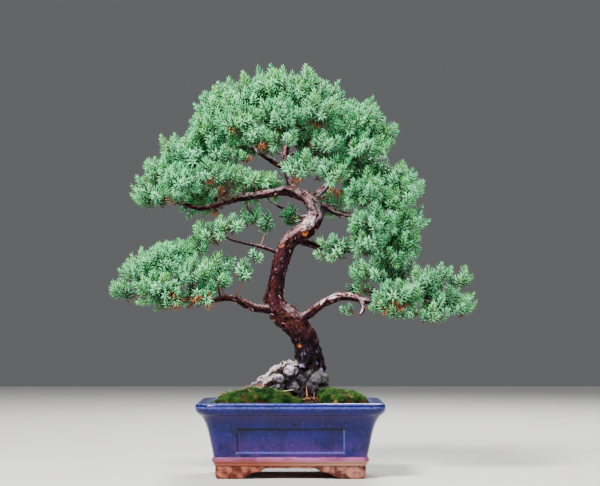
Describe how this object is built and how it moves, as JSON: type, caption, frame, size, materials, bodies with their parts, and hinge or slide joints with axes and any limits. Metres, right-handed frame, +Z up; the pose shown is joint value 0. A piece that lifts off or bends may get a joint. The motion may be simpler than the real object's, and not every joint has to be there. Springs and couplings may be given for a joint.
{
  "type": "juniper bonsai",
  "caption": "Juniper bonsai with a winding trunk, pads of needle foliage and roots over stones, in a rectangular footed pot with moss.",
  "frame": {"origin": "on the ground, at the middle of the whole tree's box seen from above", "axes": "+Z up, the front with the moss and stones faces -Y, +X to the right as seen from the front"},
  "size_m": [0.3034, 0.142, 0.3363],
  "materials": {
    "glaze": "cobalt-blue gloss glaze with purple tints and dark specks, with a bare mauve-pink band at its foot",
    "clay": "bare fired clay, matt orange to tan-pink",
    "soil": "dark crumbly potting mix with grit",
    "bark": "flaking red-brown bark with pale pinkish patches, dark and purplish near the base",
    "stone": "rough grey, with lichen and paler, pinkish knobs",
    "moss": "bright green, short and soft",
    "mesh": "black plastic mesh",
    "needles": "blue-green waxy needles, brown where dead"
  },
  "bodies": {
    "root": {"drain_screen_left": "mesh", "drain_screen_right": "mesh", "moss_back": "moss", "moss_front_left": "moss", "moss_front_right": "moss", "pot": "glaze", "pot_feet": "clay", "soil": "soil", "spray_back_1": "needles", "spray_back_2": "needles", "spray_back_3": "needles", "spray_back_4": "needles", "spray_back_5": "needles", "spray_back_6": "needles", "spray_back_7": "needles", "spray_crown_1": "needles", "spray_crown_10": "needles", "spray_crown_11": "needles", "spray_crown_12": "needles", "spray_crown_2": "needles", "spray_crown_3": "needles", "spray_crown_4": "needles", "spray_crown_5": "needles", "spray_crown_6": "needles", "spray_crown_7": "needles", "spray_crown_8": "needles", "spray_crown_9": "needles", "spray_lower_left_1": "needles", "spray_lower_left_2": "needles", "spray_lower_left_3": "needles", "spray_lower_left_4": "needles", "spray_lower_left_5": "needles", "spray_lower_left_6": "needles", "spray_lower_left_7": "needles", "spray_lower_right_1": "needles", "spray_lower_right_2": "needles", "spray_lower_right_3": "needles", "spray_lower_right_4": "needles", "spray_lower_right_5": "needles", "spray_lower_right_6": "needles", "spray_right_1": "needles", "spray_right_2": "needles", "spray_right_3": "needles", "spray_right_4": "needles", "spray_right_5": "needles", "spray_right_6": "needles", "spray_twig_1": "needles", "spray_twig_2": "needles", "spray_twig_3": "needles", "spray_twig_4": "needles", "spray_upper_left_1": "needles", "spray_upper_left_2": "needles", "spray_upper_left_3": "needles", "spray_upper_left_4": "needles", "spray_upper_left_5": "needles", "spray_upper_left_6": "needles", "stone": "stone", "trunk": "bark"}
  },
  "joints": []
}
